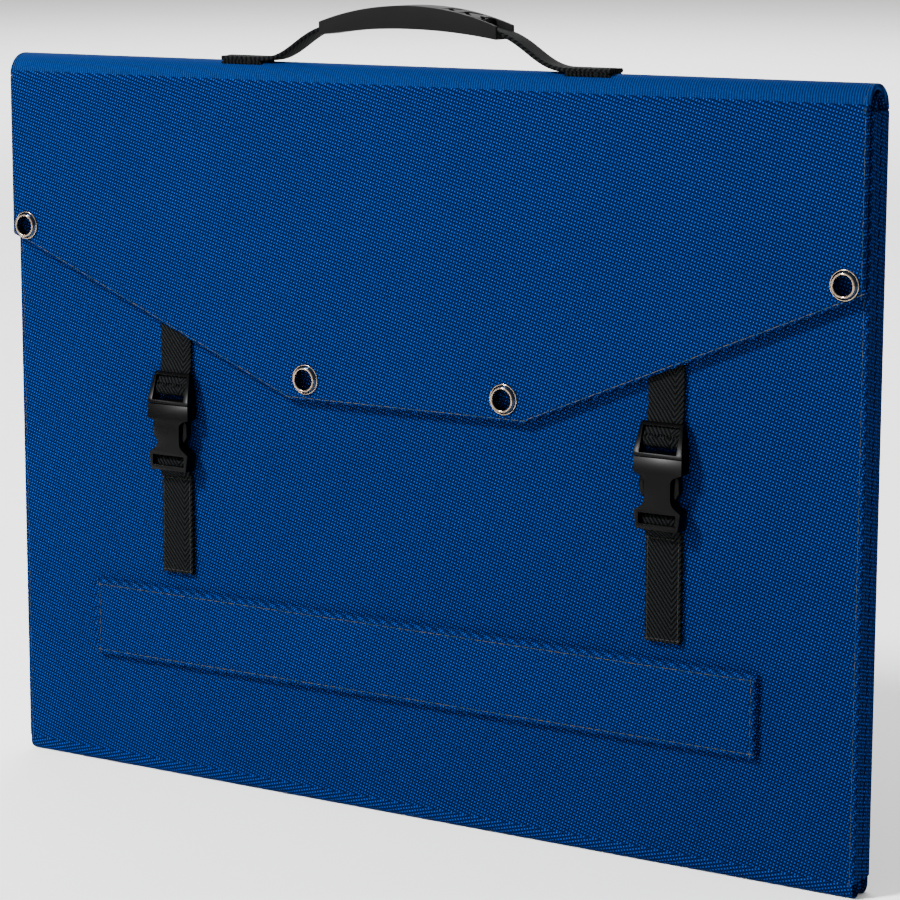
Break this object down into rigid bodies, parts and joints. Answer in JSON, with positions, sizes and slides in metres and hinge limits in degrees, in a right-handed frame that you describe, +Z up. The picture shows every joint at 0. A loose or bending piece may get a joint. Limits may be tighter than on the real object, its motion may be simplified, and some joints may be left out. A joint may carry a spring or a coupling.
{
  "type": "folding solar panel pack",
  "caption": "Folding solar panel in a fabric pack with a buckled flap, eyelets, carrying handle, support legs and a rear pocket with a charge controller.",
  "frame": {"origin": "middle of the closed pack where it stands, on its lowest line", "axes": "+X to the right seen from the front, +Y to the rear, +Z up"},
  "size_m": [0.546, 0.0436, 0.4523],
  "materials": {
    "cover_fabric": "coarse woven polyester",
    "board": "stiff fibre board",
    "laminate": "finely textured film",
    "cell": "dark silicon cell under film",
    "lead": "flat insulated lead",
    "nickel": "polished nickel plate",
    "webbing": "woven webbing",
    "grip_plastic": "satin moulded",
    "buckle_plastic": "semi-gloss moulded",
    "black_plastic": "fine moulded texture",
    "circuit": "solder mask"
  },
  "bodies": {
    "rear_panel": {"panel_4_cover": "cover_fabric", "panel_4_board": "board", "panel_4_laminate": "laminate", "panel_4_cells": "cell", "rear_fold": "cover_fabric", "rear_fold_leads": "lead", "spine": "cover_fabric", "handle_feet": "webbing", "rear_pocket": "cover_fabric", "zip_tapes": "webbing", "zip_teeth": "black_plastic", "controller_box": "black_plastic", "controller_lid": "black_plastic", "controller_circuit": "circuit", "usb_sockets": "nickel", "barrel_socket": "black_plastic", "feed_lead": "lead"},
    "panel_3": {"panel_3_cover": "cover_fabric", "panel_3_board": "board", "panel_3_laminate": "laminate", "panel_3_cells": "cell", "inner_fold": "cover_fabric", "inner_fold_leads": "lead"},
    "panel_2": {"panel_2_cover": "cover_fabric", "panel_2_board": "board", "panel_2_laminate": "laminate", "panel_2_cells": "cell", "front_fold": "cover_fabric", "front_fold_leads": "lead"},
    "front_panel": {"panel_1_cover": "cover_fabric", "panel_1_board": "board", "panel_1_laminate": "laminate", "panel_1_cells": "cell", "left_lower_strap": "webbing", "right_lower_strap": "webbing", "left_buckle_socket": "buckle_plastic", "right_buckle_socket": "buckle_plastic"},
    "flap": {"flap": "cover_fabric", "eyelet_barrels": "nickel", "eyelet_washers": "nickel"},
    "handle": {"handle_grip": "grip_plastic", "handle_strap": "webbing"},
    "left_buckle": {"left_buckle_frame": "buckle_plastic", "left_upper_strap": "webbing"},
    "right_buckle": {"right_buckle_frame": "buckle_plastic", "right_upper_strap": "webbing"},
    "left_buckle_left_arm": {"left_buckle_left_arm": "buckle_plastic"},
    "left_buckle_right_arm": {"left_buckle_right_arm": "buckle_plastic"},
    "right_buckle_left_arm": {"right_buckle_left_arm": "buckle_plastic"},
    "right_buckle_right_arm": {"right_buckle_right_arm": "buckle_plastic"},
    "front_leg": {"front_leg_sleeve": "cover_fabric", "front_leg_board": "board"},
    "rear_leg": {"rear_leg_sleeve": "cover_fabric", "rear_leg_board": "board"},
    "zip_slider": {"zip_slider": "black_plastic"},
    "zip_pull": {"zip_pull": "black_plastic"}
  },
  "joints": [
    {"name": "unfold", "type": "hinge", "parent": "rear_panel", "child": "panel_3", "pos_m": [0, 0.00405, 0.0047], "axis": [1, 0, 0], "range_deg": [0, 90], "deforming": ["rear_fold", "rear_fold_leads"]},
    {"name": "inner_fold_hinge", "type": "hinge", "parent": "panel_3", "child": "panel_2", "pos_m": [0, -0.00105, 0.40991], "axis": [1, 0, 0], "range_deg": [-180, 0], "deforming": ["inner_fold", "inner_fold_leads"]},
    {"name": "front_fold_hinge", "type": "hinge", "parent": "panel_2", "child": "front_panel", "pos_m": [0, -0.00615, 0.0047], "axis": [1, 0, 0], "range_deg": [0, 180], "deforming": ["front_fold", "front_fold_leads"]},
    {"name": "flap_hinge", "type": "hinge", "parent": "front_panel", "child": "flap", "pos_m": [0, -0.01675, 0.40685], "axis": [1, 0, 0], "range_deg": [-175, 0]},
    {"name": "handle_tilt", "type": "hinge", "parent": "rear_panel", "child": "handle", "pos_m": [0, -0.004, 0.4204], "axis": [1, 0, 0], "range_deg": [-80, 80], "deforming": ["handle_strap"]},
    {"name": "front_leg_swing", "type": "hinge", "parent": "front_panel", "child": "front_leg", "pos_m": [-0.217, -0.01115, 0.0899], "axis": [0, 0, 1], "range_deg": [-75, 0]},
    {"name": "rear_leg_swing", "type": "hinge", "parent": "rear_panel", "child": "rear_leg", "pos_m": [-0.217, 0.00905, 0.0899], "axis": [0, 0, 1], "range_deg": [0, 75]},
    {"name": "left_buckle_release", "type": "slide", "parent": "front_panel", "child": "left_buckle", "axis": [0, 0, 1], "range_m": [0, 0.016]},
    {"name": "left_buckle_left_arm_squeeze", "type": "hinge", "parent": "left_buckle", "child": "left_buckle_left_arm", "pos_m": [-0.1668, -0.01755, 0.2219], "axis": [0, -1, 0], "range_deg": [0, 7], "stiffness_Nm_per_rad": 0.4},
    {"name": "left_buckle_right_arm_squeeze", "type": "hinge", "parent": "left_buckle", "child": "left_buckle_right_arm", "pos_m": [-0.1472, -0.01755, 0.2219], "axis": [0, -1, 0], "range_deg": [-7, 0], "stiffness_Nm_per_rad": 0.4},
    {"name": "right_buckle_release", "type": "slide", "parent": "front_panel", "child": "right_buckle", "axis": [0, 0, 1], "range_m": [0, 0.016]},
    {"name": "right_buckle_left_arm_squeeze", "type": "hinge", "parent": "right_buckle", "child": "right_buckle_left_arm", "pos_m": [0.151, -0.01755, 0.2219], "axis": [0, -1, 0], "range_deg": [0, 7], "stiffness_Nm_per_rad": 0.4},
    {"name": "right_buckle_right_arm_squeeze", "type": "hinge", "parent": "right_buckle", "child": "right_buckle_right_arm", "pos_m": [0.1706, -0.01755, 0.2219], "axis": [0, -1, 0], "range_deg": [-7, 0], "stiffness_Nm_per_rad": 0.4},
    {"name": "zip_travel", "type": "slide", "parent": "rear_panel", "child": "zip_slider", "axis": [1, 0, 0], "range_m": [-0.149, 0]},
    {"name": "zip_pull_swing", "type": "hinge", "parent": "zip_slider", "child": "zip_pull", "pos_m": [0.0865, 0.0214, 0.343], "axis": [0, 0, 1], "range_deg": [-150, 0]}
  ],
  "couplings": [
    {"joint": "inner_fold_hinge", "follows": "unfold", "ratio": -2},
    {"joint": "front_fold_hinge", "follows": "unfold", "ratio": 2},
    {"joint": "left_buckle_right_arm_squeeze", "follows": "left_buckle_left_arm_squeeze", "ratio": -1},
    {"joint": "right_buckle_right_arm_squeeze", "follows": "right_buckle_left_arm_squeeze", "ratio": -1}
  ]
}
